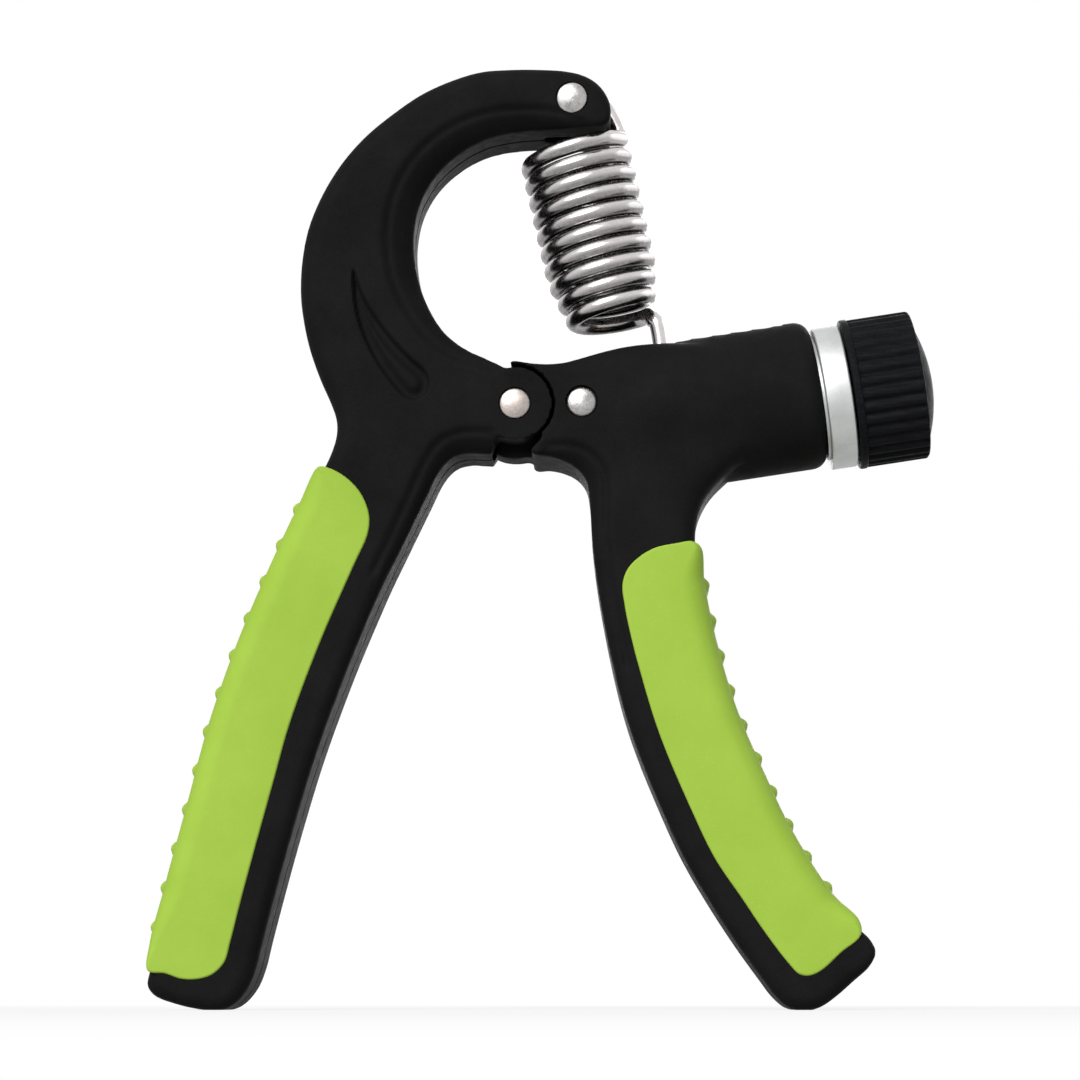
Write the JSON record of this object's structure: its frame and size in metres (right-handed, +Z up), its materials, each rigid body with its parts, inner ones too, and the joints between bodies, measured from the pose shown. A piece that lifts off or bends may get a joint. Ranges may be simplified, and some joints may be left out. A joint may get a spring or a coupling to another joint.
{
  "type": "hand grip strengthener",
  "caption": "Adjustable hand grip strengthener: two riveted levers with studded grips, a C-shaped arm, a tension spring and a knob that sets the resistance.",
  "frame": {"origin": "centre of the bounding box at floor level, under the ends of the two handles", "axes": "+X from the C-shaped arm towards the knob, +Y through the thickness from front to back, +Z up from the handle ends to the top of the arm"},
  "size_m": [0.1329, 0.0258, 0.16],
  "materials": {
    "black_plastic": "moulded black polypropylene with a fine matte grain",
    "green_rubber": "soft lime green thermoplastic rubber, matte",
    "rivet_steel": "domed zinc-plated steel",
    "washer_steel": "flat zinc-plated steel",
    "bush_brass": "plain turned brass",
    "ring_metal": "satin grey metallic with a fine speckle",
    "screw_steel": "bright zinc-plated steel",
    "washer_nylon": "natural nylon",
    "knob_plastic": "ribbed blue-black plastic, satin",
    "cap_plastic": "smooth blue-black plastic, satin",
    "nut_brass": "plain turned and milled brass",
    "spring_chrome": "bright nickel-chrome plated spring wire"
  },
  "bodies": {
    "left_lever": {"left_lever": "black_plastic", "left_grip": "green_rubber", "pivot_rivet": "rivet_steel", "spring_rivet": "rivet_steel", "left_rivet_washers": "washer_steel"},
    "right_lever": {"right_lever": "black_plastic", "right_grip": "green_rubber", "pivot_bush": "bush_brass", "screw_retaining_pin": "rivet_steel", "retaining_pin_washer": "washer_steel", "end_ring": "ring_metal"},
    "knob": {"adjuster_screw": "screw_steel", "thrust_washer": "washer_nylon", "knob": "knob_plastic", "knob_screw": "screw_steel", "knob_cap": "cap_plastic"},
    "nut": {"slide_nut": "nut_brass", "hook_pin": "screw_steel"},
    "spring": {"spring": "spring_chrome"}
  },
  "joints": [
    {"name": "squeeze", "type": "hinge", "parent": "left_lever", "child": "right_lever", "pos_m": [-0.00515, 0, 0.1017], "axis": [0, 1, 0], "range_deg": [0, 38], "stiffness_Nm_per_rad": 5, "springref_deg": -11.46, "deforming": ["spring"]},
    {"name": "knob_turn", "type": "hinge", "parent": "right_lever", "child": "knob", "pos_m": [0.05155, 0, 0.10461], "axis": [-0.9888, 0, -0.1495], "range_deg": [0, 3600], "deforming": ["spring"]},
    {"name": "nut_slide", "type": "slide", "parent": "right_lever", "child": "nut", "axis": [0.9888, 0, 0.1495], "range_m": [0, 0.02]},
    {"name": "spring_swing", "type": "hinge", "parent": "left_lever", "child": "spring", "pos_m": [0.00455, 0, 0.1545], "axis": [0, -1, 0], "range_deg": [0, 21.77]}
  ],
  "couplings": [
    {"joint": "nut_slide", "follows": "knob_turn", "m_per_rad": 0.00031831},
    {"joint": "spring_swing", "follows": "knob_turn", "ratio": 0.0060416}
  ]
}
